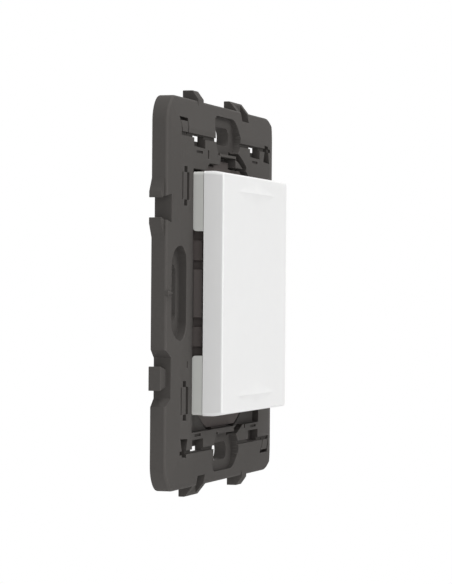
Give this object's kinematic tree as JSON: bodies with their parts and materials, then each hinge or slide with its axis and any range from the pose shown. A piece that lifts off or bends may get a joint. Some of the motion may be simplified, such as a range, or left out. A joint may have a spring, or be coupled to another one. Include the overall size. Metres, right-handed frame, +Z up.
{
  "type": "wireless wall switch",
  "caption": "Flat battery-free wireless wall switch: a white rocker on a thin generator module, held in a dark moulded support frame with screw slots.",
  "frame": {"origin": "middle of the frame on the wall plane", "axes": "+Z up, +X to the right seen from the room, +Y back into the wall"},
  "size_m": [0.0746, 0.0099, 0.0754],
  "materials": {
    "frame_plastic": "fine matt moulding",
    "housing_plastic": "fine matt moulding",
    "white_plastic": "satin",
    "steel": "plain",
    "iron": "rolled sheet",
    "shield": "tinned",
    "can": "plain",
    "brass": "plain",
    "copper": "enamelled wire",
    "board": "solder mask",
    "chip_plastic": "moulded",
    "bobbin_plastic": "moulded"
  },
  "bodies": {
    "frame_and_module": {"support_frame": "frame_plastic", "mechanism_base": "housing_plastic", "rear_cover": "housing_plastic", "cover_screws": "steel", "return_spring": "steel", "circuit_board": "board", "radio_module": "shield", "storage_capacitor": "can", "antenna_strip": "brass", "rectifier_bridge": "chip_plastic", "voltage_converter": "chip_plastic", "timing_crystal": "shield", "chip_components": "chip_plastic", "core_yoke": "iron", "coil_bobbin": "bobbin_plastic", "coil_winding": "copper", "coil_terminals": "brass"},
    "rocker": {"rocker_cap": "white_plastic", "rocker_carrier": "white_plastic"},
    "armature": {"armature_lever": "bobbin_plastic", "magnet_block": "shield", "pole_plate_front": "iron", "pole_plate_rear": "iron"}
  },
  "joints": [
    {"name": "rocker_tilt", "type": "hinge", "parent": "frame_and_module", "child": "rocker", "pos_m": [0, -0.0064, 0], "axis": [1, 0, 0], "range_deg": [-2.2, 2.2], "stiffness_Nm_per_rad": 0.1, "deforming": ["return_spring"]},
    {"name": "armature_rock", "type": "hinge", "parent": "frame_and_module", "child": "armature", "pos_m": [0.0075, -0.004, -0.0074], "axis": [1, 0, 0], "range_deg": [-4.2, 4.2]}
  ],
  "couplings": [
    {"joint": "armature_rock", "follows": "rocker_tilt", "ratio": 1.8706}
  ]
}
